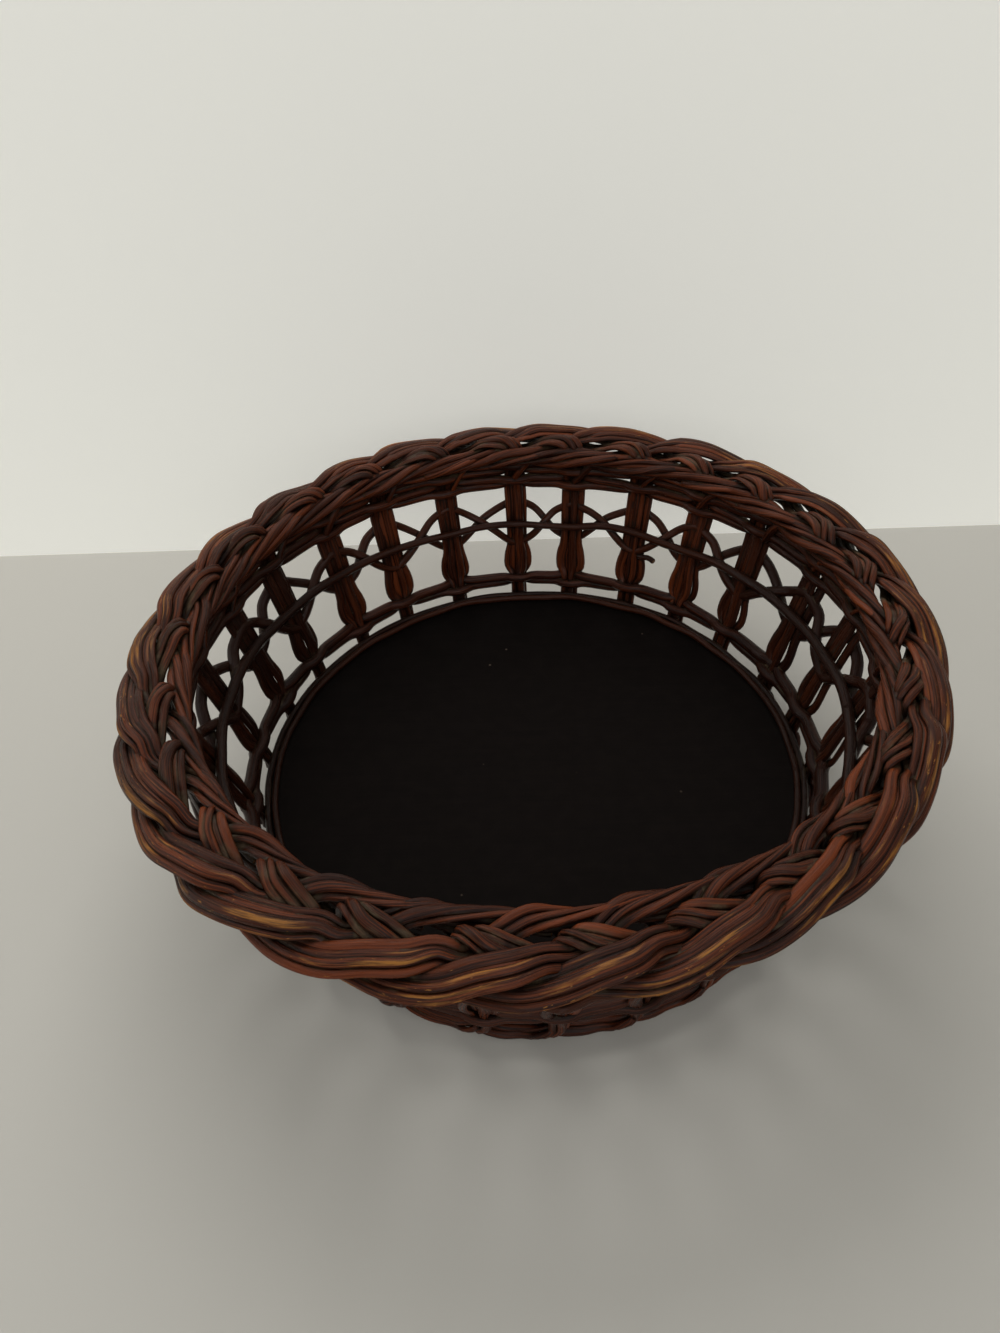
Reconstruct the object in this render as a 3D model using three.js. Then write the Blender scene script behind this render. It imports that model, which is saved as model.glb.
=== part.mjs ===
// A round bowl basket of stained rattan cane on a flat board, in millimetres, +Z up.
// The origin is on the ground, under the middle of the foot.
// Each stake is one flat bundle of canes. It starts in the foot plait, rises past the edge
// of the board, and is folded down at the top to lie in the wide plaited rim.

import * as THREE from 'three';

// Counts
const stakeCount = 26;
const upperRowCount = 2;
const edgeCaneCount = 2;

// Direction of the first stake from the X axis, in degrees
const firstStakeDirection = -3.5;

// Gap between pieces that touch on the real basket
const clearance = 0.3;

// Board and foot. The inset is measured from the circle of the stakes.
const boardThickness = 3.5;
const footHeight = 8;
const footInset = 0.5;
const footStrandWidth = 6.4;
const footStrandThickness = 2.8;

// Stakes in the wall, and how far each stretch of the wall leans out
const stakeCircleRadius = 96.2;
const lowerBandFlare = 2.4;
const windowFlare = 10;
const upperBandFlare = 0.7;
const stakeWidth = 6.3;
const stakeThickness = 3;
const bulgeWidth = 9.2;
const bulgeThickness = 5.2;
const bulgeLength = 12;

// Canes on the edge of the board, weaving rows, and the open lattice between the rows
const edgeCaneDiameter = 2;
const lowerWeaverDiameter = 1.8;
const upperWeaverDiameter = 2.2;
const lowerRowSlot = 2.9;
const upperRowSlot = 1.55;
const windowHeight = 38;
const latticeDiameter = 1.8;

// Places of the lattice, as shares of the window above the bulge
const crossLowShare = 0.07;
const hoopShare = 0.43;
const crossHighShare = 0.72;

// Strands of the plaited rim, and the gap under them
const rimGap = 2;
const rimStrandWidth = 8;
const diveWidth = 6.6;
const foldWidth = 6.4;
const rimStrandThickness = 2.8;

// Sides of the section of a round cane
const caneSides = 4;

// Heights, radii and turns that follow from the sizes above
const pitch = (2 * Math.PI) / stakeCount;
const firstTurn = THREE.MathUtils.degToRad(firstStakeDirection);
const boardTop = footHeight + boardThickness;
const boardRadius = stakeCircleRadius - stakeThickness / 2 - clearance;
const edgeCaneHeight = boardTop + clearance + edgeCaneDiameter / 2;
const lowerRowHeight = 2 * lowerWeaverDiameter + clearance;
const upperRowHeight = 2 * upperWeaverDiameter + clearance;
const upperRowPitch = upperRowHeight + upperRowSlot;
const windowBottom = edgeCaneHeight + edgeCaneDiameter / 2 + lowerRowSlot + lowerRowHeight;
const windowTop = windowBottom + windowHeight;
const firstUpperRow = windowTop + upperRowHeight / 2;
const bandTop = firstUpperRow + (upperRowCount - 1) * upperRowPitch + upperRowHeight / 2;
const windowBottomRadius = stakeCircleRadius + lowerBandFlare;
const windowTopRadius = windowBottomRadius + windowFlare;
const stakeTopRadius = windowTopRadius + upperBandFlare;
const latticeBottom = windowBottom + bulgeLength;
const latticeHeight = windowHeight - bulgeLength;
const rimLow = bandTop + rimGap + rimStrandThickness / 2;
const rimLayer = rimStrandThickness + clearance;

// Heights and radii where the wall bends.
const wallBends = [
  [boardTop, stakeCircleRadius],
  [windowBottom, windowBottomRadius],
  [windowTop, windowTopRadius],
  [bandTop, stakeTopRadius],
];

// Radius of the middle of a stake at a height in the wall.
function wallRadius(height) {
  for (let i = 1; i < wallBends.length; i += 1) {
    const [low, lowRadius] = wallBends[i - 1];
    const [high, highRadius] = wallBends[i];
    if (height <= high) {
      return THREE.MathUtils.mapLinear(Math.max(height, low), low, high, lowRadius, highRadius);
    }
  }
  return stakeTopRadius;
}

// A value part of the way from one to another.
const between = THREE.MathUtils.lerp;

// Place on the basket from a turn past the first stake, a radius and a height.
function place(turn, radius, height) {
  const angle = firstTurn + turn;
  return new THREE.Vector3(radius * Math.cos(angle), radius * Math.sin(angle), height);
}

// Direction of a flat side at a turn: lean 0 faces up, 90 outwards and -90 inwards.
function facing(turn, lean) {
  const angle = THREE.MathUtils.degToRad(lean);
  return place(turn, Math.sin(angle), Math.cos(angle));
}

// The direction that a cane runs in at each of its middle points.
function directions(points, closed) {
  const count = points.length;
  return points.map((point, i) => {
    const before = closed ? points[(i + count - 1) % count] : points[Math.max(i - 1, 0)];
    const after = closed ? points[(i + 1) % count] : points[Math.min(i + 1, count - 1)];
    const arriving = point.clone().sub(before).normalize();
    const leaving = after.clone().sub(point).normalize();
    return arriving.add(leaving).normalize();
  });
}

// A solid from rings of corners, with a flat cap at each end unless the rings close up.
function solidFromRings(rings, closed) {
  const sides = rings[0].length;
  const indices = [];
  const spans = closed ? rings.length : rings.length - 1;
  for (let i = 0; i < spans; i += 1) {
    const here = i * sides;
    const next = ((i + 1) % rings.length) * sides;
    for (let j = 0; j < sides; j += 1) {
      const side = (j + 1) % sides;
      indices.push(here + j, next + side, here + side);
      indices.push(here + j, next + j, next + side);
    }
  }
  const last = (rings.length - 1) * sides;
  for (let j = 1; j < sides - 1 && !closed; j += 1) {
    indices.push(0, j, j + 1);
    indices.push(last, last + j + 1, last + j);
  }
  const geometry = new THREE.BufferGeometry();
  const corners = rings.flat().flatMap((corner) => corner.toArray());
  geometry.setAttribute('position', new THREE.Float32BufferAttribute(corners, 3));
  geometry.setIndex(indices);
  geometry.computeVertexNormals();
  return geometry;
}

// Six corners of a flat bundle, as shares of its width and thickness.
const flatShare = 0.36;
const bundleSection = [
  [0.5, 0],
  [flatShare, 0.5],
  [-flatShare, 0.5],
  [-0.5, 0],
  [-flatShare, -0.5],
  [flatShare, -0.5],
];

// A flat bundle of canes along its stations.
function bundle(stations) {
  const points = stations.map((s) => place(s.turn, s.radius, s.height));
  const runs = directions(points, false);
  const rings = stations.map((s, i) => {
    const up = facing(s.turn, s.lean);
    const across = runs[i].clone().cross(up).normalize();
    const normal = across.clone().cross(runs[i]).normalize();
    return bundleSection.map(([side, top]) =>
      points[i]
        .clone()
        .addScaledVector(across, side * s.width)
        .addScaledVector(normal, top * s.thickness),
    );
  });
  return solidFromRings(rings, false);
}

// One round cane that closes on itself round the basket.
function closedCane(points, diameter) {
  const runs = directions(points, true);
  const rings = points.map((point, i) => {
    const outward = new THREE.Vector3(point.x, point.y, 0).normalize();
    const across = runs[i].clone().cross(outward).normalize();
    const normal = across.clone().cross(runs[i]).normalize();
    return Array.from({ length: caneSides }, (_, j) => {
      const angle = (2 * Math.PI * j) / caneSides;
      return point
        .clone()
        .addScaledVector(across, (diameter / 2) * Math.cos(angle))
        .addScaledVector(normal, (diameter / 2) * Math.sin(angle));
    });
  });
  return solidFromRings(rings, true);
}

// The stations of a stake in the foot: the end lies inside under the stake before it.
function footStations() {
  const lane = stakeCircleRadius - footInset - footStrandWidth / 2;
  const flat = footStrandThickness / 2;
  const rise = footHeight - flat;
  const strand = { width: footStrandWidth, thickness: footStrandThickness };
  const tip = { width: 0.7 * footStrandWidth, thickness: footStrandThickness };
  const neck = { width: 0.8 * stakeWidth, thickness: footStrandThickness };
  return [
    { turn: -1.42, radius: lane - 0.86 * footStrandWidth, height: flat, lean: 0, ...tip },
    { turn: -1.1, radius: lane - 0.3 * footStrandWidth, height: flat, lean: 0, ...strand },
    { turn: -0.78, radius: lane, height: flat, lean: 0, ...strand },
    { turn: -0.5, radius: lane + 0.5, height: flat + 0.25 * rise, lean: -14, ...strand },
    { turn: -0.29, radius: lane + 1.4, height: flat + 0.45 * rise, lean: -34, ...strand },
    { turn: -0.12, radius: stakeCircleRadius, height: flat + 0.63 * rise, lean: -60, ...neck },
    { turn: -0.02, radius: stakeCircleRadius, height: flat + 0.9 * rise, lean: -80, ...neck },
  ];
}

// The stations of a stake past the board and up the wall.
function wallStations() {
  const straight = { turn: 0, lean: -90, width: stakeWidth, thickness: stakeThickness };
  const bulge = { width: bulgeWidth, thickness: bulgeThickness };
  const bulgeMiddle = windowBottom + bulgeLength / 2;
  const heights = [
    [footHeight, {}],
    [boardTop, {}],
    [windowBottom, {}],
    [bulgeMiddle - bulgeLength / 5, bulge],
    [bulgeMiddle + bulgeLength / 5, bulge],
    [windowBottom + bulgeLength, {}],
    [windowTop, {}],
  ];
  return heights.map(([height, section]) => ({
    ...straight,
    ...section,
    radius: wallRadius(height),
    height,
  }));
}

// The stations of a stake in the rim. It folds outwards over the strand that dives there,
// runs low under two strands, lies along the outer edge, comes in over two strands, dives
// under a fold and ends as the rope of the inner edge.
function rimStations() {
  const beside = stakeThickness / 2 + clearance;
  const pass = stakeTopRadius + beside + diveWidth / 2;
  const outer = pass + diveWidth / 2 + 2 * clearance + rimStrandWidth / 2;
  const inner = stakeTopRadius - beside - rimStrandWidth / 2;
  const thickness = rimStrandThickness;
  const neck = { width: 0.75 * stakeWidth, thickness: 0.85 * stakeThickness };
  const fold = { width: foldWidth, thickness };
  const strand = { width: rimStrandWidth, thickness };
  const dive = { width: diveWidth, thickness };
  const tip = { width: diveWidth / 2, thickness };
  const level = (share) => rimLow + share * rimLayer;
  const stakeToOuter = (share) => between(stakeTopRadius, outer, share);
  const passToOuter = (share) => between(pass, outer, share);
  const passToInner = (share) => between(pass, inner, share);
  return [
    { turn: 0, radius: stakeToOuter(-0.02), height: level(0.3), lean: -90, ...neck },
    { turn: 0.03, radius: stakeToOuter(-0.01), height: level(1), lean: -70, ...neck },
    { turn: 0.12, radius: stakeToOuter(0.06), height: level(1.5), lean: -30, ...neck },
    { turn: 0.26, radius: stakeToOuter(0.19), height: level(1.5), lean: 0, ...fold },
    { turn: 0.45, radius: stakeToOuter(0.29), height: level(0.95), lean: 8, ...fold },
    { turn: 0.64, radius: stakeToOuter(0.4), height: level(0.1), lean: 10, ...fold },
    { turn: 0.8, radius: stakeToOuter(0.53), height: level(-0.65), lean: 8, ...fold },
    { turn: 1, radius: stakeToOuter(0.71), height: level(-0.75), lean: 8, ...fold },
    { turn: 1.3, radius: stakeToOuter(0.89), height: level(-0.7), lean: 10, ...strand },
    { turn: 1.62, radius: passToOuter(1), height: level(-0.2), lean: 10, ...strand },
    { turn: 1.95, radius: passToOuter(1), height: level(0.4), lean: 10, ...strand },
    { turn: 2.3, radius: passToOuter(0.87), height: level(1.2), lean: 10, ...strand },
    { turn: 2.6, radius: passToOuter(0.55), height: level(1.4), lean: 4, ...strand },
    { turn: 2.85, radius: passToOuter(0.11), height: level(1.1), lean: -2, ...dive },
    { turn: 3.06, radius: passToInner(0), height: level(0.2), lean: -6, ...dive },
    { turn: 3.26, radius: passToInner(0.32), height: level(-0.1), lean: -8, ...dive },
    { turn: 3.54, radius: passToInner(0.73), height: level(0), lean: -12, ...dive },
    { turn: 3.95, radius: passToInner(1), height: level(0.55), lean: -20, ...dive },
    { turn: 4.2, radius: passToInner(1.08), height: level(-0.1), lean: -40, ...dive },
    { turn: 4.46, radius: passToInner(1.12), height: level(-0.9), lean: -60, ...tip },
  ];
}

// The stake at a number, from its end in the foot to its end in the rim.
function stake(number) {
  const stations = [...footStations(), ...wallStations(), ...rimStations()];
  return bundle(stations.map((s) => ({ ...s, turn: (s.turn + number) * pitch })));
}

// The board, a plain round that fits inside the stakes.
function baseBoard() {
  const sides = 4 * stakeCount;
  const geometry = new THREE.CylinderGeometry(boardRadius, boardRadius, boardThickness, sides);
  geometry.rotateX(Math.PI / 2);
  geometry.translate(0, 0, footHeight + boardThickness / 2);
  return geometry;
}

// A plain cane that lies on the edge of the board. The first one lies against the stakes.
function edgeCane(number) {
  const apart = edgeCaneDiameter + clearance;
  const outermost = wallRadius(edgeCaneHeight) - (stakeThickness + edgeCaneDiameter) / 2 - clearance;
  const radius = outermost - number * apart;
  const steps = 3 * stakeCount;
  const points = Array.from({ length: steps }, (_, i) =>
    place((i * 2 * Math.PI) / steps, radius, edgeCaneHeight),
  );
  return closedCane(points, edgeCaneDiameter);
}

// One cane of a weaving row: it passes outside one stake and inside the next, and goes
// over and under its partner in the gaps.
function weaver(height, side, diameter) {
  const swing = stakeThickness / 2 + clearance + diameter / 2;
  const rise = (diameter + clearance) / 2;
  const beside = 0.2;
  const middle = wallRadius(height);
  const outside = (middle + swing) / Math.cos(beside * pitch);
  const inside = middle - swing;
  const points = [];
  for (let i = 0; i < stakeCount; i += 1) {
    const way = i % 2 === 0 ? side : -side;
    const radius = way > 0 ? outside : inside;
    points.push(place((i - beside) * pitch, radius, height));
    points.push(place((i + beside) * pitch, radius, height));
    points.push(place((i + 0.5) * pitch, middle, height + way * rise));
  }
  return closedCane(points, diameter);
}

// The thin hoop that runs inside the stakes and ties the crossings in the windows.
function latticeHoop() {
  const height = latticeBottom + hoopShare * latticeHeight;
  const swing = stakeThickness / 2 + clearance + latticeDiameter / 2;
  const apart = latticeDiameter + clearance;
  const points = [];
  for (let i = 0; i < stakeCount; i += 1) {
    points.push(place(i * pitch, wallRadius(height) - swing, height));
    points.push(place((i + 0.5) * pitch, wallRadius(height) - apart, height));
  }
  return closedCane(points, latticeDiameter);
}

// A thin cane that climbs and falls from stake to stake. Its way is 1 outside the stakes
// and -1 inside them, and the two canes cross in the middle of each window.
function latticeCane(way) {
  const low = latticeBottom + crossLowShare * latticeHeight;
  const high = latticeBottom + crossHighShare * latticeHeight;
  const crossing = latticeBottom + hoopShare * latticeHeight;
  const swing = stakeThickness / 2 + clearance + latticeDiameter / 2;
  const apart = way > 0 ? latticeDiameter + clearance : 0;
  const beside = 0.14;
  const points = [];
  for (let i = 0; i < stakeCount; i += 1) {
    const height = (i % 2 === 0) === way > 0 ? low : high;
    const radius = wallRadius(height) + way * swing;
    points.push(place((i - beside) * pitch, radius, height));
    points.push(place((i + beside) * pitch, radius, height));
    points.push(place((i + 0.5) * pitch, wallRadius(crossing) + apart, crossing));
  }
  return closedCane(points, latticeDiameter);
}

// Materials
const caneMaterial = new THREE.MeshStandardMaterial({
  color: 0x54281c,
  roughness: 0.42,
  metalness: 0,
});
const thinCaneMaterial = new THREE.MeshStandardMaterial({
  color: 0x3f2019,
  roughness: 0.5,
  metalness: 0,
});
const boardMaterial = new THREE.MeshStandardMaterial({
  color: 0x0f0c0c,
  roughness: 0.75,
  metalness: 0,
});

const basket = new THREE.Group();

function addPiece(name, geometry, material) {
  const piece = new THREE.Mesh(geometry, material);
  piece.name = name;
  basket.add(piece);
}

addPiece('base_board', baseBoard(), boardMaterial);

for (let i = 0; i < stakeCount; i += 1) {
  addPiece(`stake_${String(i + 1).padStart(2, '0')}`, stake(i), caneMaterial);
}

for (let i = 0; i < edgeCaneCount; i += 1) {
  addPiece(`edge_cane_${i + 1}`, edgeCane(i), caneMaterial);
}

const lowerRow = windowBottom - lowerRowHeight / 2;
addPiece('lower_row_weaver_a', weaver(lowerRow, 1, lowerWeaverDiameter), caneMaterial);
addPiece('lower_row_weaver_b', weaver(lowerRow, -1, lowerWeaverDiameter), caneMaterial);

for (let row = 0; row < upperRowCount; row += 1) {
  const height = firstUpperRow + row * upperRowPitch;
  const name = `upper_row_${row + 1}_weaver`;
  addPiece(`${name}_a`, weaver(height, 1, upperWeaverDiameter), caneMaterial);
  addPiece(`${name}_b`, weaver(height, -1, upperWeaverDiameter), caneMaterial);
}

addPiece('lattice_hoop', latticeHoop(), thinCaneMaterial);
addPiece('lattice_cane_outer', latticeCane(1), thinCaneMaterial);
addPiece('lattice_cane_inner', latticeCane(-1), thinCaneMaterial);

export default basket;
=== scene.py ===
import math

import bmesh
import bpy
import numpy as np
from mathutils import Matrix, Vector, noise
from mathutils.bvhtree import BVHTree


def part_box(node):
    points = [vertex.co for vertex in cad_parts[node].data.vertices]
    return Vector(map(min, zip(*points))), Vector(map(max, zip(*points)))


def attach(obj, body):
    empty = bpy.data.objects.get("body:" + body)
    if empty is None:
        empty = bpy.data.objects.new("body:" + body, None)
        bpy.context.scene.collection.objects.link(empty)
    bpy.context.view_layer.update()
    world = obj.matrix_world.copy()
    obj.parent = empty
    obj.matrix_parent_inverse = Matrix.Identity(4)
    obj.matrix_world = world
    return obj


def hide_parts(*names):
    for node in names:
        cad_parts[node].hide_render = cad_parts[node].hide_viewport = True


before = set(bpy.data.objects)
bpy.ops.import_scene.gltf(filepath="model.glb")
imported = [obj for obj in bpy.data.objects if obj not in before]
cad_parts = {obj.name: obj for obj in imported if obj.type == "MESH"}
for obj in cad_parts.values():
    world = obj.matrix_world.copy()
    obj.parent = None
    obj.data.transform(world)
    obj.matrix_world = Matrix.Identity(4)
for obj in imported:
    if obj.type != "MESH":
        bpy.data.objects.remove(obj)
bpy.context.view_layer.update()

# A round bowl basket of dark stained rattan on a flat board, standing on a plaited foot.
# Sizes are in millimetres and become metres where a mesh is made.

MM = 0.001


# Base board
# The floor of the bowl is one round, thin wooden board, stained nearly black and left matte.
# Its edge is eased, and it lies on the foot plait inside the ring of stakes.

board_ease = 0.4
board_corner = math.radians(60)
board_crease = math.radians(12)
board_bottom, board_top = (corner.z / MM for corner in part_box("base_board"))


def paint(red, green, blue):
    """A colour as it is seen, in parts of 255, as the shader wants it."""
    parts = [value / 255 for value in (red, green, blue)]
    return [p / 12.92 if p < 0.04045 else ((p + 0.055) / 1.055) ** 2.4 for p in parts] + [1]


def add_node(tree, kind, inputs=(), **settings):
    """Adds a shader node, sets it up, and links or fills the inputs that are named."""
    made = tree.nodes.new("ShaderNode" + kind)
    for name, value in settings.items():
        setattr(made, name, value)
    for name, value in dict(inputs).items():
        if isinstance(value, bpy.types.NodeSocket):
            tree.links.new(value, made.inputs[name])
        else:
            made.inputs[name].default_value = value
    return made


def mix_colour(tree, share, first, second):
    """A colour between two, by a share."""
    made = add_node(tree, "Mix", {0: share}, data_type="RGBA")
    for socket, value in ((made.inputs[6], first), (made.inputs[7], second)):
        if isinstance(value, bpy.types.NodeSocket):
            tree.links.new(value, socket)
        else:
            socket.default_value = value
    return made.outputs[2]


def ramp(tree, value, low, high, start=0.0, end=1.0):
    """A value spread smoothly from start to end as the input goes from low to high."""
    inputs = {"Value": value, "From Min": low, "From Max": high, "To Min": start, "To Max": end}
    return add_node(tree, "MapRange", inputs, interpolation_type="SMOOTHSTEP").outputs[0]


def combine(tree, first, second, operation="ADD"):
    """Two values put together by a sum, or by the operation that is named."""
    return add_node(tree, "Math", {0: first, 1: second}, operation=operation).outputs[0]


def new_group(name, inputs, outputs):
    """An empty shader group with named sockets, and its two end nodes."""
    tree = bpy.data.node_groups.new(name, "ShaderNodeTree")
    for label, kind in inputs.items():
        tree.interface.new_socket(label, in_out="INPUT", socket_type="NodeSocket" + kind)
    for label, kind in outputs.items():
        tree.interface.new_socket(label, in_out="OUTPUT", socket_type="NodeSocket" + kind)
    return tree, tree.nodes.new("NodeGroupInput"), tree.nodes.new("NodeGroupOutput")


def place_group(tree, group, **inputs):
    """A shader group placed in a material with its own values."""
    made = add_node(tree, "Group", node_tree=group)
    for name, value in inputs.items():
        if isinstance(value, bpy.types.NodeSocket):
            tree.links.new(value, made.inputs[name])
        else:
            made.inputs[name].default_value = value
    return made


def new_material(name):
    """A material with only a Principled shader."""
    material = bpy.data.materials.new(name)
    material.use_nodes = True
    return material, material.node_tree, material.node_tree.nodes["Principled BSDF"]


def dust_group():
    """Grey dust that lies in soft patches on what faces up and is out of reach."""
    inputs = {
        "Colour": "Color",
        "Place": "Vector",
        "Normal": "Vector",
        "Cover": "Float",
        "Dust": "Color",
    }
    tree, start, end = new_group("settled_dust", inputs, {"Colour": "Color", "Cover": "Float"})
    cloud = add_node(tree, "TexNoise", {"Vector": start.outputs["Place"], "Scale": 180, "Detail": 5})
    grit = add_node(tree, "TexNoise", {"Vector": start.outputs["Place"], "Scale": 1500, "Detail": 2})
    height = add_node(tree, "SeparateXYZ", {0: start.outputs["Normal"]}).outputs["Z"]
    upwards = ramp(tree, height, 0, 0.8, 0.08, 1)
    patches = ramp(tree, cloud.outputs["Fac"], 0.38, 0.66)
    grains = ramp(tree, grit.outputs["Fac"], 0.3, 0.7, 0.55, 1)
    lying = combine(tree, upwards, start.outputs["Cover"], "MULTIPLY")
    cover = combine(tree, combine(tree, lying, patches, "MULTIPLY"), grains, "MULTIPLY")
    colour = mix_colour(tree, cover, start.outputs["Colour"], start.outputs["Dust"])
    tree.links.new(colour, end.inputs["Colour"])
    tree.links.new(cover, end.inputs["Cover"])
    return tree


dust = dust_group()


def board_finish():
    """Near-black stain, matte, with faint grain and a few pale specks."""
    material, tree, shader = new_material("stained_board")
    place = add_node(tree, "TexCoord").outputs["Object"]
    grain_place = add_node(tree, "Mapping", {"Vector": place, "Scale": (40, 900, 40)}).outputs[0]
    grain = add_node(tree, "TexNoise", {"Vector": grain_place, "Scale": 1, "Detail": 6}).outputs["Fac"]
    stain = mix_colour(tree, grain, paint(11, 8, 7), paint(18, 13, 11))
    spots = add_node(tree, "TexVoronoi", {"Vector": place, "Scale": 130}, feature="F1")
    chance = add_node(tree, "TexWhiteNoise", {"Vector": spots.outputs["Position"]}).outputs["Value"]
    near = ramp(tree, spots.outputs["Distance"], 0.08, 0.02)
    specks = combine(tree, near, ramp(tree, chance, 0.9, 0.96), "MULTIPLY")
    speckled = mix_colour(tree, specks, stain, paint(92, 80, 70))
    up = add_node(tree, "NewGeometry").outputs["Normal"]
    dusty = place_group(
        tree, dust, Colour=speckled, Place=place, Normal=up, Cover=0.03, Dust=paint(60, 52, 47)
    )
    bump = add_node(tree, "Bump", {"Height": grain, "Strength": 0.25, "Distance": 0.0003})
    tree.links.new(dusty.outputs["Colour"], shader.inputs["Base Color"])
    tree.links.new(bump.outputs[0], shader.inputs["Normal"])
    shader.inputs["Roughness"].default_value = 0.85
    shader.inputs["Specular IOR Level"].default_value = 0.06
    return material


def sort_faces(bm):
    """Puts faces in the order of their vertices, because an extrusion adds them in any order."""
    bm.verts.index_update()
    faces = sorted(bm.faces, key=lambda face: [vertex.index for vertex in face.verts])
    for i, face in enumerate(faces):
        face.index = i
    bm.faces.sort()


def add_piece(name, bm, material, node):
    """A piece that stands for a solid, made from its finished bmesh."""
    sort_faces(bm)
    bmesh.ops.recalc_face_normals(bm, faces=bm.faces)
    mesh = bpy.data.meshes.new(name)
    bm.to_mesh(mesh)
    bm.free()
    mesh.materials.append(material)
    mesh.shade_smooth()
    piece = bpy.data.objects.new(name, mesh)
    bpy.context.scene.collection.objects.link(piece)
    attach(piece, "root")
    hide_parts(node)
    return piece


bm = bmesh.new()
bm.from_mesh(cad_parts["base_board"].data)
bmesh.ops.remove_doubles(bm, verts=bm.verts, dist=0.01 * MM)
corners = [edge for edge in bm.edges if edge.calc_face_angle(0) > board_corner]
bmesh.ops.bevel(
    bm, geom=corners, offset=board_ease * MM, segments=3, profile=0.5, affect="EDGES", material=-1
)
board = add_piece("board", bm, board_finish(), "base_board")
board.data.set_sharp_from_angle(angle=board_crease)


# Stakes
# Each stake is a flat bundle of four split canes. It starts in the foot plait, rises past the
# edge of the board and swells above the lower row, and its top is folded down into the wide rim.

# The ring of stakes.
stake_count = 26
pitch = 2 * math.pi / stake_count
first_turn = math.radians(-3.5)

# The canes of a bundle, and as shares of their thickness how closely they are packed, and how
# broad and how thin they are pressed.
cane_count = 4
cane_diameter = 2.3
cane_sides = 8
ring_step = 1.5
packing = 0.94
least_broad = 1.1
most_broad = 1.6
least_deep = 0.76

# The eased ends of a cane: how long they are and what share of its thickness they have.
end_step = 0.3
end_share = 0.8

# The wall: its radius at the board, at the ends of the windows and at the top of its rows.
stake_radius = 96.2
window_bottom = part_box("lower_row_weaver_a")[1].z / MM
window_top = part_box("upper_row_1_weaver_a")[0].z / MM
band_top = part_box("upper_row_2_weaver_a")[1].z / MM
wall_heights = [board_top, window_bottom, window_top, band_top]
wall_radii = [stake_radius, 98.6, 108.6, 109.3]

# Widths of a bundle along its length, how far its middle stands proud and its canes lie one
# before the other in the wall, and how much wider it is in the side walls and the back rim.
shaft_width = 7.8
bulge_width = 10.4
bulge_length = 12
neck_width = 5.6
fold_width = 6.8
strand_width = 8
rope_width = 5.8
tip_width = 3.6
foot_width = 8.4
crown = 1.2
wall_layer = 0.8
side_swell = 0.42
widest = 13
back_swell = 0.16

# Lanes of the foot and of the rim plait.
rim_low = band_top + 3.4
rim_layer = 3.1
outer_lane = 122.3
pass_lane = 114.4
inner_lane = 103.8
foot_lane = stake_radius - 3.7
rope_swing = 1.7
rope_turn = 125

# How far the bowl and the rim are out of round. Azimuths are in degrees.
front_azimuth = 270
back_azimuth = 90
oval = 1.8
rim_oval = 2.4
rim_oval_azimuth = 60
arc_pull = 1.6
rope_push = 3.6
rope_pull = 3.4
front_rise = 1.7

# How far a bundle strays: along the rim in pitches, outwards and upwards, and in lean.
stray_along = 0.04
stray_out = 0.5
stray_up = 0.35
stray_lean = 6

# How far a cane strays in its bundle, how much its thickness wavers, how unlike the canes of
# a bundle are, and how far short of the tip of the bundle each is cut off.
cane_drift = 0.08
cane_lift = 0.09
cane_waver = 0.04
cane_spread = 0.28
cane_stops = [30, 0, 14, 22]


def wall_radius(height):
    """Radius of the middle of the wall at a height."""
    return np.interp(height, wall_heights, wall_radii)


def polar(turn, radius):
    """A place on the plan from a turn in pitches."""
    angle = first_turn + turn * pitch
    return radius * math.cos(angle), radius * math.sin(angle)


def spot(turn, radius, height):
    """A place from a turn in pitches, a radius and a height: higher up the bowl is wider from
    side to side than from front to back."""
    rise = (height - board_top) / (band_top - board_top)
    stretch = oval * min(max(rise, 0), 1) * math.cos(2 * (first_turn + turn * pitch))
    return (*polar(turn, radius + stretch), height)


def azimuth_of(turn):
    """The azimuth of a turn in pitches, in degrees."""
    return math.degrees(first_turn + turn * pitch)


def swell(azimuth, middle, width):
    """One at the middle, falling to nothing on both sides. All in degrees."""
    return math.exp((math.cos(math.radians(azimuth - middle)) - 1) * 2 / math.radians(width) ** 2)


def wander(seed, place, reach):
    """A smooth random shift of at most about the reach, the same on every run."""
    return reach * 1.6 * noise.noise(Vector((place, 17.3 * seed + 0.7, 3.1 * seed)))


def stake_turn(number):
    """The turn of a stake in pitches: the real ones don't stand quite evenly."""
    place = number % stake_count
    return number + 0.05 * math.sin(2.4 * place) + 0.03 * math.sin(5.1 * place)


def next_turn(number):
    """The turn halfway from a stake to the next."""
    return (stake_turn(number) + stake_turn(number + 1)) / 2


# Rows of a stake: turn in pitches past the stake, radius, height, lean of the flat side
# (0 faces up, 90 outwards, -90 inwards) and width of the bundle.
def foot_rows():
    """The rows of a stake from its end under its neighbours to the edge of the board."""
    low = cane_diameter + 0.4
    rise = board_bottom - low
    return [
        (-1.42, foot_lane - 6, low, 0, 0.7 * foot_width),
        (-1.1, foot_lane - 2.4, low + 0.1, 4, foot_width),
        (-0.78, foot_lane - 0.4, low + 0.8, 24, foot_width),
        (-0.5, foot_lane + 0.6, low + 0.4 * rise, 40, foot_width),
        (-0.29, foot_lane + 1.4, low + 0.55 * rise, 20, 0.9 * foot_width),
        (-0.12, stake_radius, low + 0.63 * rise, -60, neck_width),
        (-0.02, stake_radius, low + 0.9 * rise, -80, neck_width),
    ]


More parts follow.
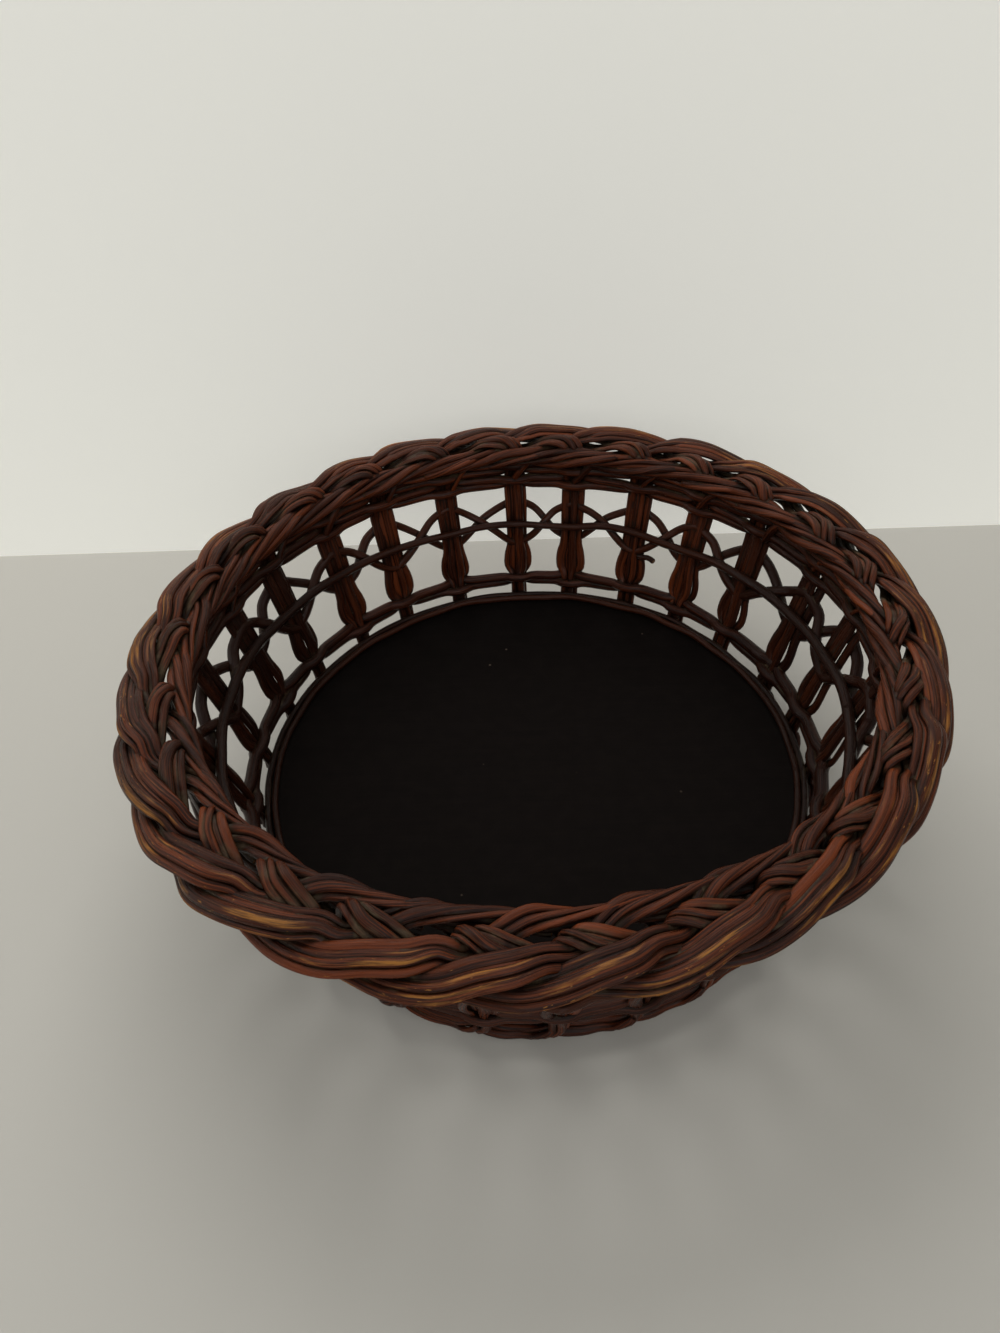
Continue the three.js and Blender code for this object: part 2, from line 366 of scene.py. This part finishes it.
def wall_rows():
    """The rows of a stake up the wall, with the bulge above the lower row."""
    middle = window_bottom + bulge_length / 2
    heights = [
        (board_bottom, neck_width),
        (board_top, neck_width),
        (window_bottom, neck_width + 0.6),
        (middle - bulge_length / 5, bulge_width),
        (middle + bulge_length / 6, bulge_width),
        (window_bottom + 1.1 * bulge_length, shaft_width),
        (window_top - 8, shaft_width),
        (window_top, shaft_width),
    ]
    return [(0, wall_radius(height), height, -90, width) for height, width in heights]


def rim_rows():
    """The rows of a stake over its fold, along the outer arcs of the rim, across to the inside
    and along the inner rope to its tip."""

    def outwards(share):
        return wall_radii[-1] + share * (outer_lane - wall_radii[-1])

    def across(share):
        return pass_lane + share * (outer_lane - pass_lane)

    def inwards(share):
        return pass_lane + share * (inner_lane - pass_lane)

    def level(share):
        return rim_low + share * rim_layer

    return [
        (0, outwards(-0.02), level(0.3), -90, neck_width),
        (0.03, outwards(-0.01), level(1), -70, neck_width),
        (0.12, outwards(0.06), level(1.5), -30, 0.8 * fold_width),
        (0.26, outwards(0.19), level(1.5), 0, fold_width),
        (0.45, outwards(0.29), level(0.95), 8, fold_width),
        (0.64, outwards(0.4), level(0.1), 10, fold_width),
        (0.8, outwards(0.53), level(-0.65), 8, fold_width),
        (1, outwards(0.71), level(-0.75), 8, fold_width),
        (1.3, outwards(0.8), level(-0.7), 10, strand_width),
        (1.62, across(0.96), level(-0.2), 10, strand_width),
        (1.95, across(1), level(0.4), 10, strand_width),
        (2.3, across(0.75), level(1.2), 10, strand_width),
        (2.6, across(0.5), level(1.4), 4, strand_width),
        (2.85, across(0.11), level(1.1), -2, 0.85 * strand_width),
        (3.06, inwards(0), level(0.3), -2, 0.8 * strand_width),
        (3.26, inwards(0.36), level(0), 0, 0.7 * strand_width),
        *(rope_row(past) for past in (3.6, 4, 4.4, 4.8, 5.2, 5.55)),
        (5.8, inner_lane + 0.1, rim_low - 5.5, -260, tip_width),
        (5.98, inner_lane + 0.6, window_top + 1.5, -270, tip_width),
    ]


def rope_row(past):
    """A row in the inner rope of the rim, where the bundle winds round its neighbours from
    the outer side over the top to the inner side and then below them."""
    angle = math.radians(50 + rope_turn * (past - 3.3))
    radius = inner_lane + rope_swing * math.cos(angle)
    height = rim_low - 0.1 * rim_layer + rope_swing * math.sin(angle)
    return past, radius, height, 90 - math.degrees(angle), rope_width


def smooth_line(rows, step, closed=False):
    """Rows of numbers along a smooth curve through the given rows, at even steps.
    The first three numbers of a row are its place."""
    rows = np.array(rows, float)
    if closed:
        rows = np.vstack([rows[-2:], rows, rows[:3]])
    reach = np.linalg.norm(np.diff(rows[:, :3], axis=0), axis=1)
    knots = np.concatenate([[0], np.cumsum(np.sqrt(reach))])
    slopes = np.gradient(rows, knots, axis=0)
    fine = []
    for i in range(len(rows) - 1):
        span = knots[i + 1] - knots[i]
        share = np.linspace(0, 1, 12, endpoint=False)[:, None]
        start, end = rows[i], rows[i + 1]
        leave, arrive = slopes[i] * span, slopes[i + 1] * span
        fine.append(
            (2 * share**3 - 3 * share**2 + 1) * start
            + (share**3 - 2 * share**2 + share) * leave
            + (3 * share**2 - 2 * share**3) * end
            + (share**3 - share**2) * arrive
        )
    if closed:
        fine = fine[2:-2] + [rows[2][None, :]]
    else:
        fine.append(rows[-1:])
    fine = np.vstack(fine)
    length = np.concatenate([[0], np.cumsum(np.linalg.norm(np.diff(fine[:, :3], axis=0), axis=1))])
    count = max(3, round(length[-1] / step))
    even = np.linspace(0, length[-1], count + 1)
    line = np.column_stack([np.interp(even, length, column) for column in fine.T])
    return line[:-1] if closed else line


def unit(vectors):
    """Rows of vectors made one long."""
    return vectors / np.linalg.norm(vectors, axis=1)[:, None]


def runs_of(centres, closed):
    """The direction of a line at each of its points."""
    if closed:
        return unit(np.roll(centres, -1, axis=0) - np.roll(centres, 1, axis=0))
    return unit(np.gradient(centres, axis=0))


def with_cut_ends(centres, fronts, breadths, depths, dusts):
    """The rows of a cane with a short eased step added at each end."""
    step = end_step * unit(np.array([centres[0] - centres[1], centres[-1] - centres[-2]]))
    centres = np.vstack([centres[0] + step[0], centres, centres[-1] + step[1]])
    fronts = np.vstack([fronts[0], fronts, fronts[-1]])
    eased = np.array([breadths, depths])
    eased = np.hstack([end_share * eased[:, :1], eased, end_share * eased[:, -1:]])
    return centres, fronts, *eased, np.pad(dusts, 1, "edge")


def add_cane(bm, centres, fronts, breadths, depths, seed, dusts=None, closed=False):
    """Sweeps a cane along its middle line, in millimetres, with each vertex's place on the same
    cane laid straight kept for the fibres."""
    straight = bm.verts.layers.float_vector["straight"]
    tone, settled, cut = (bm.verts.layers.float[name] for name in ("tone", "settled", "cut"))
    dusts = np.zeros(len(centres)) if dusts is None else dusts
    if not closed:
        centres, fronts, breadths, depths, dusts = with_cut_ends(
            centres, fronts, breadths, depths, dusts
        )
    runs = runs_of(centres, closed)
    sides = unit(np.cross(runs, fronts))
    fronts = np.cross(sides, runs)
    steps = np.linalg.norm(np.diff(centres, axis=0), axis=1)
    along = np.concatenate([[0], np.cumsum(steps)]) + 700 * seed
    shade = noise.noise(Vector((seed * 3.7, 0.4, 1.9))) * 1.6
    last = len(centres) - 1
    for i, (centre, side, front, run, breadth, depth) in enumerate(
        zip(centres, sides, fronts, runs, breadths, depths)
    ):
        turn = Matrix((side * breadth / 2, front * depth / 2, run)).transposed() * MM
        frame_here = Matrix.Translation(Vector(centre) * MM) @ turn.to_4x4()
        if i == 0:
            made = bmesh.ops.create_circle(bm, segments=cane_sides, radius=1, matrix=frame_here)
            ring = made["verts"]
            edges = [edge for edge in bm.edges if edge.is_wire]
            first_edges = edges
        else:
            made = bmesh.ops.extrude_edge_only(bm, edges=edges)["geom"]
            ring = [part for part in made if isinstance(part, bmesh.types.BMVert)]
            edges = [part for part in made if isinstance(part, bmesh.types.BMEdge)]
            known = set(ring)
            edges = [edge for edge in edges if known.issuperset(edge.verts)]
            bmesh.ops.transform(bm, matrix=frame_here @ before.inverted(), verts=ring)
        before = frame_here
        back = frame_here.inverted()
        for vertex in ring:
            local = back @ vertex.co
            vertex[straight] = (local.x * breadth / 2, local.y * depth / 2, along[i])
            vertex[tone] = shade
            vertex[settled] = dusts[i]
            vertex[cut] = not closed and i in (0, last)
    if closed:
        bmesh.ops.bridge_loops(bm, edges=first_edges + edges)
    else:
        bmesh.ops.edgeloop_fill(bm, edges=first_edges)
        bmesh.ops.edgeloop_fill(bm, edges=edges)


def new_canes():
    """An empty bmesh with what the cane finish reads."""
    bm = bmesh.new()
    bm.verts.layers.float_vector.new("straight")
    for name in ("tone", "settled", "cut"):
        bm.verts.layers.float.new(name)
    return bm


def rim_shift(turn, past, radius):
    """How far a row of the rim is moved outwards: the outer arcs are out of round, and the
    inner rope lies further out at the sides and back than at the front."""
    azimuth = azimuth_of(turn + past)
    stretch = rim_oval * math.cos(math.radians(2 * (azimuth - rim_oval_azimuth)))
    outer = stretch - arc_pull * swell(azimuth, front_azimuth, 40)
    inner = rope_push - rope_pull * swell(azimuth, front_azimuth + 7, 34)
    if past < 1.1:
        return outer * (radius - wall_radii[-1]) / (outer_lane - wall_radii[-1])
    share = min(max((outer_lane - radius) / (outer_lane - inner_lane), 0), 1)
    return outer * (1 - share) + inner * share


def bundle_line(number):
    """The smooth middle line of a stake, with its flat side, its width, its dust and how far
    its canes have thinned."""
    rows = []
    turn = stake_turn(number)
    for i, (past, radius, height, lean, width) in enumerate(foot_rows() + wall_rows() + rim_rows()):
        loose = 1 if abs(past) > 0.3 else 0.2
        azimuth = azimuth_of(turn + past)
        if board_top < height <= window_top and past == 0:
            width = min(width * (1 + side_swell * math.cos(math.radians(azimuth)) ** 2), widest)
        if height > band_top or past > 3:
            width *= 1 + back_swell * swell(azimuth, back_azimuth, 50)
            radius += rim_shift(turn, past, radius)
            height += front_rise * swell(azimuth, front_azimuth, 45) * min(past, 1)
        past += wander(number, 2.3 * i, stray_along) * loose
        radius += wander(number + 40, 1.9 * i, stray_out) * loose
        if height > band_top:
            height += wander(number + 80, 2.1 * i, stray_up) * loose
        lean = math.radians(lean + wander(number + 120, 1.7 * i, stray_lean) * loose)
        face = (*polar(turn + past, math.sin(lean)), math.cos(lean))
        folded = height > band_top and 0.1 < past < 1.1
        thinned = np.interp(past, [3.2, 3.8, 5.6], [1, 1.08, 0.95])
        rows.append((*spot(turn + past, radius, height), *face, width, folded, thinned))
    return smooth_line(rows, ring_step)


def add_stake(number, material):
    """One stake: its canes lie side by side where the bundle is wide, with the middle ones
    proud, and in two layers where it is narrow."""
    line = bundle_line(number)
    centres = line[:, :3]
    fronts = unit(line[:, 3:6])
    widths, dusts, thinned = line[:, 6:].T
    runs = runs_of(centres, False)
    sides = unit(np.cross(runs, fronts))
    fronts = np.cross(sides, runs)
    bm = new_canes()
    seeds = [number * cane_count + cane + 1 for cane in range(cane_count)]
    shares = np.array([1 + cane_spread * math.sin(4.3 * seed) for seed in seeds])
    shares /= shares.mean()
    places = (np.cumsum(shares) - shares / 2) / shares.sum() - 0.5
    spacing = widths / cane_count
    layer = np.sqrt(np.clip((packing * cane_diameter) ** 2 - spacing**2, 0, None)) / 2
    layer = np.maximum(layer, wall_layer * (1 - np.abs(fronts[:, 2])) ** 3)
    arch = crown * np.clip(widths / strand_width, 0, 1.1) ** 3
    for cane, seed in enumerate(seeds):
        stop = round((cane_stops[cane] + wander(seed + 900, 0.5, 4)) / ring_step)
        count = len(centres) - max(stop, 0)
        drift = np.array([wander(seed, 0.045 * i, cane_drift) for i in range(count)])
        lift = np.array([wander(seed + 300, 0.06 * i, cane_lift) for i in range(count)])
        across = places[cane] * widths[:count] + drift
        above = (-1) ** cane * layer[:count] - arch[:count] * (2 * places[cane]) ** 2 + lift
        path = centres[:count] + sides[:count] * across[:, None] + fronts[:count] * above[:, None]
        size = cane_diameter * shares[cane] * thinned[:count]
        size *= np.array([1 + wander(seed + 600, 0.08 * i, cane_waver) for i in range(count)])
        breadths = most_broad * spacing[:count] * shares[cane]
        breadths = np.clip(breadths, least_broad * size, most_broad * size)
        depths = np.clip(size**2 / breadths, least_deep * size, size)
        add_cane(bm, path, fronts[:count], breadths, depths, seed, dusts[:count])
    name = f"stake_{number + 1:02d}"
    return add_piece(f"{name}_canes", bm, material, name)


def drawn_noise(tree, place, across, along, detail, roughness):
    """Noise drawn out along the cane, by its scales across and along it."""
    scale = (across, across, along)
    drawn = add_node(tree, "Mapping", {"Vector": place, "Scale": scale}).outputs[0]
    values = {"Vector": drawn, "Scale": 1, "Detail": detail, "Roughness": roughness}
    return add_node(tree, "TexNoise", values).outputs["Fac"]


def fibre_group():
    """Long fibres and pores of cane, from a place on the straight cane in millimetres."""
    outputs = {"Fibre": "Float", "Flecks": "Float"}
    tree, start, end = new_group("cane_fibre", {"Place": "Vector"}, outputs)
    place = start.outputs["Place"]
    tree.links.new(drawn_noise(tree, place, 2.6, 0.05, 4, 0.6), end.inputs["Fibre"])
    tree.links.new(drawn_noise(tree, place, 1.7, 0.16, 3, 0.5), end.inputs["Flecks"])
    return tree


def rubbed_group():
    """The pale cane that shows in streaks and chips where the stain is rubbed away."""
    inputs = {
        "Colour": "Color",
        "Place": "Vector",
        "Openness": "Float",
        "Amount": "Float",
        "Bare": "Color",
    }
    tree, start, end = new_group("rubbed_stain", inputs, {"Colour": "Color", "Share": "Float"})
    streak = drawn_noise(tree, start.outputs["Place"], 0.7, 0.045, 5, 0.62)
    chip = drawn_noise(tree, start.outputs["Place"], 1.4, 0.35, 4, 0.55)
    reach = combine(tree, start.outputs["Openness"], start.outputs["Amount"], "MULTIPLY")
    soft = ramp(tree, combine(tree, streak, reach), 0.86, 1.06, 0, 0.75)
    sharp = ramp(tree, combine(tree, chip, reach), 1, 1.05, 0, 0.6)
    share = combine(tree, soft, sharp, "MAXIMUM")
    colour = mix_colour(tree, share, start.outputs["Colour"], start.outputs["Bare"])
    tree.links.new(colour, end.inputs["Colour"])
    tree.links.new(share, end.inputs["Share"])
    return tree


fibre = fibre_group()
rubbed = rubbed_group()

# Where painted shade darkens the canes from the middle out to the side walls and fades out up
# to the rim, and where hands begin to reach the canes and reach them all.
side_wall_from, side_wall_full = 50, 90
rim_from, rim_full = 62, 72
handled_from, handled_full = 105, 124


def kept(tree, name, output="Fac"):
    """What is kept under a name with the vertices of a cane."""
    return add_node(tree, "Attribute", attribute_name=name).outputs[output]


def tinted(colour, share):
    """A paint made darker or lighter by a share."""
    return paint(*(share * part for part in colour))


def cane_stain_and_shade(tree, where, streaks, deep, lit, bare):
    """The colour of the stain and the painted shade: streaks along the fibres, darker and lighter
    canes, painted shade in the recesses and on the side walls, and bare cane at the cut ends."""
    tone = kept(tree, "tone")
    stain = mix_colour(tree, ramp(tree, streaks, 0.36, 0.68), paint(*deep), paint(*lit))
    stain = mix_colour(tree, ramp(tree, tone, 0.1, 0.7, 0, 0.45), stain, tinted(lit, 1.25))
    stain = mix_colour(tree, ramp(tree, tone, -0.1, -0.6, 0, 0.5), stain, tinted(deep, 0.75))
    # Painted shade: the side walls below the rim and the sheltered recesses are made darker.
    axes = add_node(tree, "SeparateXYZ", {0: where}).outputs
    squared = combine(tree, axes["X"], axes["X"], "MULTIPLY")
    aside = ramp(tree, squared, (side_wall_from * MM) ** 2, (side_wall_full * MM) ** 2, 0, 0.65)
    below = ramp(tree, axes["Z"], rim_full * MM, rim_from * MM)
    shaded_side_wall = combine(tree, aside, below, "MULTIPLY")
    recess_shade = ramp(tree, kept(tree, "shelter"), 0.12, 0.62, 0, 0.85)
    painted_shade = combine(tree, recess_shade, shaded_side_wall, "MAXIMUM")
    stain = mix_colour(tree, painted_shade, stain, tinted(deep, 0.45))
    cut = ramp(tree, kept(tree, "cut"), 0.4, 0.9, 0, 0.8)
    return mix_colour(tree, cut, stain, tinted(bare, 0.75))


def openness_of(tree, where):
    """How open a spot is to hands: most on the outer arcs of the rim, away from recesses."""
    flat = add_node(tree, "VectorMath", {0: where, 1: (1, 1, 0)}, operation="MULTIPLY").outputs[0]
    radius = add_node(tree, "VectorMath", {0: flat}, operation="LENGTH").outputs["Value"]
    handled = ramp(tree, radius, handled_from * MM, handled_full * MM, 0.45, 1)
    clear = combine(tree, 1, kept(tree, "shelter"), "SUBTRACT")
    return combine(tree, clear, handled, "MULTIPLY")


def cane_finish(name, deep, lit, bare, rub):
    """Dark red-brown varnish over cane, with dust and painted shade in the recesses and painted
    shade on the side walls: deep and lit are its darkest and brightest stain, bare is the cane
    under it, and rub is how much of that shows."""
    material, tree, shader = new_material(name)
    place = kept(tree, "straight", "Vector")
    where = add_node(tree, "TexCoord").outputs["Object"]
    up = add_node(tree, "NewGeometry").outputs["Normal"]
    grain = place_group(tree, fibre, Place=place).outputs
    stain = cane_stain_and_shade(tree, where, grain["Fibre"], deep, lit, bare)
    open_air = openness_of(tree, where)
    worn = place_group(
        tree, rubbed, Colour=stain, Place=place, Openness=open_air, Amount=rub, Bare=paint(*bare)
    ).outputs
    folded = combine(tree, kept(tree, "settled"), 0.35, "MULTIPLY")
    cover = ramp(tree, combine(tree, kept(tree, "shelter"), folded), 0.3, 0.8, 0, 0.8)
    dusty = place_group(
        tree, dust, Colour=worn["Colour"], Place=where, Normal=up, Cover=cover, Dust=paint(90, 76, 56)
    ).outputs
    shine = ramp(tree, grain["Flecks"], 0.3, 0.7, 0.22, 0.48)
    matte = combine(tree, dusty["Cover"], worn["Share"], "MAXIMUM")
    roughness = combine(tree, shine, combine(tree, matte, 0.4, "MULTIPLY"))
    height = combine(tree, grain["Fibre"], combine(tree, grain["Flecks"], 0.4, "MULTIPLY"))
    bump = add_node(tree, "Bump", {"Height": height, "Strength": 0.8, "Distance": 0.0003})
    tree.links.new(dusty["Colour"], shader.inputs["Base Color"])
    tree.links.new(roughness, shader.inputs["Roughness"])
    tree.links.new(bump.outputs[0], shader.inputs["Normal"])
    shader.inputs["Specular IOR Level"].default_value = 0.2
    return material


stout_cane = cane_finish("varnished_cane", (38, 15, 8), (102, 48, 22), (170, 114, 50), 0.38)
thin_cane = cane_finish("dark_varnished_cane", (28, 12, 7), (66, 32, 17), (150, 100, 50), 0.16)
canes = [add_stake(number, stout_cane) for number in range(stake_count)]


# Edge canes
# Two plain canes lie side by side on the board, inside the ring of stakes, and hide the gap
# between the board and the stakes. They lie loose on the board, below the lower row.

edge_diameter = 2.3
edge_offset = 0.15
edge_stray = 0.5
edge_bulge = 0.9


def middle_height(node):
    """Height of the middle of a solid."""
    low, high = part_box(node)
    return (low.z + high.z) / 2 / MM


def add_ring(node, rows, diameter, seed, material, stout=0, stub=None):
    """A cane that closes on itself round the basket, stouter at the sides by a share, with a
    broken end beside it if there is one."""
    line = smooth_line(rows, ring_step, closed=True)
    sizes = np.array([diameter * (1 + wander(seed, 0.06 * i, 0.06)) for i in range(len(line))])
    sizes *= 1 + stout * unit(line[:, :2])[:, 0] ** 2
    bm = new_canes()
    add_cane(bm, line, unit(line * (1, 1, 0)), sizes, sizes, seed, closed=True)
    if stub:
        line = smooth_line(stub, ring_step)
        sizes = np.full(len(line), 0.75 * diameter)
        add_cane(bm, line, unit(line * (1, 1, 0)), sizes, sizes, seed + 40)
    canes.append(add_piece(f"{node}_cane", bm, material, node))


for number in (1, 2):
    node = f"edge_cane_{number}"
    low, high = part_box(node)
    radius = (high.x - low.x) / 2 / MM - edge_diameter / 2 + edge_offset
    rows = []
    for i in range(2 * stake_count):
        height = middle_height(node) + edge_offset + abs(wander(i + 70 * number, 3.3, edge_bulge))
        rows.append((*polar(i / 2, radius + wander(i + 20 * number, 6.1, edge_stray)), height))
    add_ring(node, rows, edge_diameter, 480 + number, thin_cane)


# Lower row
# A row of twined cane holds the stakes above the board. Its two canes lie one on the other and
# take turns to pass outside and inside the stakes. They are stouter at the sides.

row_diameter = 3.6
row_swing = 1.6
row_stack = 0.38
row_stray = 0.25
lower_stout = 0.25

# Where a cane of a row runs beside a stake: pitches past the stake and share of the swing.
row_points = ((-0.24, 0.2), (-0.1, 1), (0.1, 1), (0.24, 0.2))


def add_weaver(node, height, side, stout):
    """One cane of a row, which changes sides between the stakes."""
    rows = []
    for i in range(stake_count):
        way = side if i % 2 == 0 else -side
        turn = stake_turn(i)
        middle = wall_radius(height)
        level = height + row_stack * side * row_diameter
        for past, out in row_points:
            radius = middle + way * out * row_swing
            stray = wander(i + 900, 3 * past + side, row_stray)
            rows.append(spot(turn + past, radius, level + stray))
    add_ring(node, rows, row_diameter, round(7 * height) + side, stout_cane, stout)


def add_row(name, stout=0):
    """Both canes of a row, at the height of its solids."""
    height = middle_height(f"{name}_weaver_a")
    for letter, side in (("a", 1), ("b", -1)):
        add_weaver(f"{name}_weaver_{letter}", height, side, stout)


add_row("lower_row", lower_stout)


# Upper rows
# Two more twined rows close the windows and carry the rim. They are made as the lower row is.

add_row("upper_row_1")
add_row("upper_row_2")


# Lattice
# Two thin canes climb and fall from stake to stake, one outside them and one through their
# bundles, and cross in each window. A thin hoop runs round inside over the crossings.

lattice_diameter = 3
hoop_diameter = 2.8
lattice_stout = 0.4
lattice_swing = 2.9
lattice_set_in = 0.7
lattice_beside = 0.9 * lattice_diameter
lattice_margin = 0.6
lattice_stray = 1
crossing_stray = 1.2

# Pitches from a stake to where a thin cane bends at its edge and to where it runs down to the
# crossing, its rise at the edge, and the share of that rise left further down.
bend_reach = 0.17
slope_reach = 0.3
edge_rise = 2
slope_share = 0.6
hoop_height = middle_height("lattice_hoop")
lattice_low, lattice_high = (corner.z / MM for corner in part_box("lattice_cane_outer"))


def crossing_height(number):
    """Height at which the thin canes cross after a stake."""
    return hoop_height + wander(number, 5.5, crossing_stray)


rows = []
for i in range(stake_count):
    height = crossing_height(i)
    rows.append(spot(stake_turn(i), wall_radius(height) - lattice_swing, height))
    rows.append(spot(next_turn(i), wall_radius(height) - lattice_beside, height))
add_ring("lattice_hoop", rows, hoop_diameter, 501, thin_cane, lattice_stout)

# Past a stake at the back, the broken end of a thin cane sticks out into the window: turn in
# pitches, distance outwards from the wall, and height.
stub_rows = [(4.95, 1, 33), (4.8, 0, 33.4), (4.68, -0.8, 34.3), (4.58, -1.6, 34)]
stub = [spot(turn, wall_radius(height) + out, height) for turn, out, height in stub_rows]

for node, way in (("lattice_cane_outer", 1), ("lattice_cane_inner", -1)):
    rows = []
    for i in range(stake_count):
        rises = 1 if (i % 2 == 0) == (way > 0) else -1
        height = lattice_low + lattice_margin if rises > 0 else lattice_high - lattice_margin
        height += wander(i + 60 * way, 8.5, lattice_stray)
        radius = wall_radius(height) + (lattice_swing if way > 0 else lattice_set_in)
        before, after = crossing_height((i - 1) % stake_count), crossing_height(i)
        beside = lattice_beside if way > 0 else 0
        edge = height + rises * edge_rise
        rise, fall = (slope_share * edge + (1 - slope_share) * end for end in (before, after))
        rows.append(spot(stake_turn(i) - slope_reach, radius, rise))
        for past in (-bend_reach, 0, bend_reach):
            rows.append(spot(stake_turn(i) + past, radius, edge if past else height))
        rows.append(spot(stake_turn(i) + slope_reach, radius, fall))
        rows.append(spot(next_turn(i), wall_radius(after) + beside, after))
    broken = stub if way > 0 else None
    add_ring(node, rows, lattice_diameter, 510 + way, thin_cane, lattice_stout, broken)


# Shelter
# How much of the open air each spot of the canes is shut off from by the canes round it.
# Dust gathers and painted shade darkens the canes where it is high, and the stain is rubbed
# away where it is low.

shelter_reach = 9
shelter_start = 0.15
shelter_tilt = math.radians(52)
shelter_rays = 6


def shelter_of(tree, place, normal):
    """The share of rays from a spot that meet another cane, the near ones counting most."""
    side = normal.orthogonal().normalized()
    other = normal.cross(side)
    start = place + normal * shelter_start * MM
    met = 0
    for i in range(shelter_rays):
        angle = 2 * math.pi * i / shelter_rays
        flat = side * math.cos(angle) + other * math.sin(angle)
        ray = normal * math.cos(shelter_tilt) + flat * math.sin(shelter_tilt)
        distance = tree.ray_cast(start, ray, shelter_reach * MM)[3]
        if distance is not None:
            met += 1 - 0.5 * distance / (shelter_reach * MM)
    return met / shelter_rays


def keep_shelter(pieces):
    """Writes the shelter of every vertex of the pieces."""
    places = []
    faces = []
    for piece in pieces:
        start = len(places)
        places.extend(vertex.co.copy() for vertex in piece.data.vertices)
        faces.extend([start + corner for corner in face.vertices] for face in piece.data.polygons)
    tree = BVHTree.FromPolygons(places, faces)
    for piece in pieces:
        values = [shelter_of(tree, vertex.co, vertex.normal) for vertex in piece.data.vertices]
        piece.data.attributes.new("shelter", "FLOAT", "POINT").data.foreach_set("value", values)


keep_shelter(canes)


# Floor and backdrop
# A pale floor, and a pale wall close behind that is seen only from the front.

floor_size = 3
wall_distance = 0.149
wall_turn = math.radians(0.3)
wall_glow = 0.44


def plain_finish(name, colour):
    """A flat pale finish."""
    material, tree, shader = new_material(name)
    shader.inputs["Base Color"].default_value = paint(*colour)
    shader.inputs["Roughness"].default_value = 0.9
    shader.inputs["Specular IOR Level"].default_value = 0.1
    return material, tree, shader


def add_sheet(name, matrix, material):
    """A flat square for the surroundings."""
    bm = bmesh.new()
    bmesh.ops.create_grid(bm, x_segments=1, y_segments=1, size=floor_size / 2, matrix=matrix)
    mesh = bpy.data.meshes.new(name)
    bm.to_mesh(mesh)
    bm.free()
    mesh.materials.append(material)
    sheet = bpy.data.objects.new(name, mesh)
    bpy.context.scene.collection.objects.link(sheet)
    return sheet


add_sheet("floor", Matrix.Identity(4), plain_finish("pale_floor", (198, 196, 189))[0])

wall_finish, wall_tree, wall_shader = plain_finish("pale_wall", (226, 226, 219))
wall_shader.inputs["Emission Color"].default_value = paint(225, 225, 219)
seen = add_node(wall_tree, "LightPath").outputs["Is Camera Ray"]
glow = combine(wall_tree, seen, wall_glow, "MULTIPLY")
wall_tree.links.new(glow, wall_shader.inputs["Emission Strength"])
behind = add_node(wall_tree, "NewGeometry").outputs["Backfacing"]
clear = add_node(wall_tree, "BsdfTransparent").outputs[0]
one_sided = add_node(wall_tree, "MixShader", {0: behind, 1: wall_shader.outputs[0], 2: clear})
wall_tree.links.new(one_sided.outputs[0], wall_tree.nodes["Material Output"].inputs["Surface"])
standing = (
    Matrix.Rotation(wall_turn, 4, "Z")
    @ Matrix.Translation((0, wall_distance, floor_size / 2))
    @ Matrix.Rotation(math.radians(90), 4, "X")
)
backdrop = add_sheet("backdrop", standing, wall_finish)
backdrop.visible_shadow = False


# Light
# Soft daylight from above and behind, with less from the room in front and from the left.

daylight = (1, 0.99, 0.97)
room_light = (1, 0.98, 0.96)

world = bpy.data.worlds.new("daylight")
bpy.context.scene.world = world
world.use_nodes = True
world.node_tree.nodes["Background"].inputs["Color"].default_value = (*daylight, 1)
world.node_tree.nodes["Background"].inputs["Strength"].default_value = 0.27


def add_lamp(name, place, size, power, colour):
    """A square soft light that faces the basket."""
    lamp = bpy.data.lights.new(name, "AREA")
    lamp.size = size
    lamp.energy = power
    lamp.color = colour
    holder = bpy.data.objects.new(name, lamp)
    holder.location = place
    holder.rotation_euler = Vector(place).to_track_quat("Z", "Y").to_euler()
    bpy.context.scene.collection.objects.link(holder)


add_lamp("window", (-0.18, 0.77, 0.85), 0.9, 7.6, daylight)
add_lamp("room", (0.05, -0.9, 0.7), 0.8, 2.6, room_light)
add_lamp("side", (-0.8, 0.1, 0.5), 0.6, 1.5, daylight)
add_lamp("ceiling", (0.2, 0.05, 1.1), 0.8, 1.4, daylight)


# Camera
# It stands in front of the basket and looks down into it, turned a little anticlockwise.

photo_height = 1333
focal_length = 1000
sensor = 36
camera_place = Vector((0, -232.1, board_top + 273.6)) * MM
look_aside = math.radians(-2.45)
look_down = math.radians(43.956)
roll = math.radians(-3.117)

ahead = Vector(
    (
        math.sin(look_aside) * math.cos(look_down),
        math.cos(look_aside) * math.cos(look_down),
        -math.sin(look_down),
    )
)
level_right = Vector((math.cos(look_aside), -math.sin(look_aside), 0))
level_up = level_right.cross(ahead)
right = level_right * math.cos(roll) + level_up * math.sin(roll)
up = level_up * math.cos(roll) - level_right * math.sin(roll)

lens = bpy.data.cameras.new("camera")
lens.sensor_width = sensor
lens.lens = sensor * focal_length / photo_height
camera = bpy.data.objects.new("camera", lens)
looking = Matrix((right, up, -ahead)).transposed().to_4x4()
camera.matrix_world = Matrix.Translation(camera_place) @ looking
bpy.context.scene.collection.objects.link(camera)
bpy.context.scene.camera = camera
bpy.context.scene.view_settings.view_transform = "Standard"
